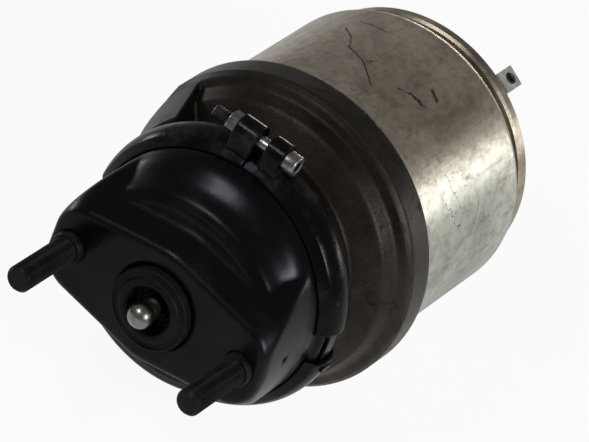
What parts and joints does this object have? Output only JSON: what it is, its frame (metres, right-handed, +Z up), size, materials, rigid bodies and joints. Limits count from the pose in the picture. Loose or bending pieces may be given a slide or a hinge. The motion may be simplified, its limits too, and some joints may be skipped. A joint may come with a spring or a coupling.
{
  "type": "air brake chamber",
  "caption": "Air brake spring chamber: a diaphragm service chamber and a spring chamber in line, with a ball-ended push rod between threaded mounting studs.",
  "frame": {"origin": "centre of the mounting face on the push rod's axis", "axes": "the chamber's axis is Y: the studs and push rod point to -Y and the spring chamber lies at +Y; the studs are level along X, and +Z is up"},
  "size_m": [0.1941, 0.4005, 0.1966],
  "materials": {
    "black_paint": "semi-gloss black stove enamel",
    "clamp_black": "gloss black enamel",
    "zinc": "bright zinc plate",
    "black_oxide": "black oxide steel",
    "polished_steel": "polished hardened steel",
    "plain_steel": "plain machined steel",
    "spring_steel": "dark coated spring steel",
    "black_rubber": "matt black rubber",
    "cast_alloy": "grey-brown cast alloy, satin",
    "raw_alloy": "satin drawn aluminium",
    "tan_steel": "tan-brown passivated ring",
    "bush_plastic": "natural bearing plastic"
  },
  "bodies": {
    "chamber": {"service_housing": "black_paint", "stud_plate": "plain_steel", "mounting_studs": "black_oxide", "dust_boot": "black_rubber", "return_spring": "spring_steel", "diaphragm": "black_rubber", "clamp_segment_base": "clamp_black", "clamp_segment_head_side": "clamp_black", "clamp_segment_nut_side": "clamp_black", "clamp_bolt": "zinc", "clamp_nut": "zinc", "intermediate_housing": "cast_alloy", "hub_bush": "bush_plastic", "hub_seals": "black_rubber", "cylinder_seal": "black_rubber", "retaining_wire": "zinc", "spring_cylinder": "raw_alloy", "rear_cover": "cast_alloy", "cover_seal": "black_rubber", "rear_ring": "tan_steel", "power_spring": "spring_steel", "release_insert": "plain_steel", "tab_bracket": "zinc", "bracket_screw": "zinc"},
    "spring_piston": {"spring_piston": "cast_alloy", "piston_seal": "black_rubber", "piston_guide_ring": "bush_plastic", "push_tube": "polished_steel", "tube_nose": "plain_steel"},
    "push_rod": {"push_rod": "polished_steel", "push_plate": "plain_steel"},
    "release_bolt": {"release_bolt": "zinc", "release_collar": "plain_steel", "release_pin": "plain_steel"}
  },
  "joints": [
    {"name": "parking_stroke", "type": "slide", "parent": "chamber", "child": "spring_piston", "axis": [0, -1, 0], "range_m": [0, 0.056], "deforming": ["power_spring"]},
    {"name": "push_rod_stroke", "type": "slide", "parent": "chamber", "child": "push_rod", "axis": [0, -1, 0], "range_m": [0, 0.056], "deforming": ["return_spring", "diaphragm"]},
    {"name": "release_bolt_turn", "type": "hinge", "parent": "spring_piston", "child": "release_bolt", "pos_m": [0, 0.276, 0], "axis": [0, -1, 0], "range_deg": [0, 10085]}
  ],
  "couplings": [
    {"joint": "release_bolt_turn", "follows": "parking_stroke", "rad_per_m": 3141.6},
    {"joint": "push_rod_stroke", "follows": "parking_stroke", "ratio": 1}
  ]
}
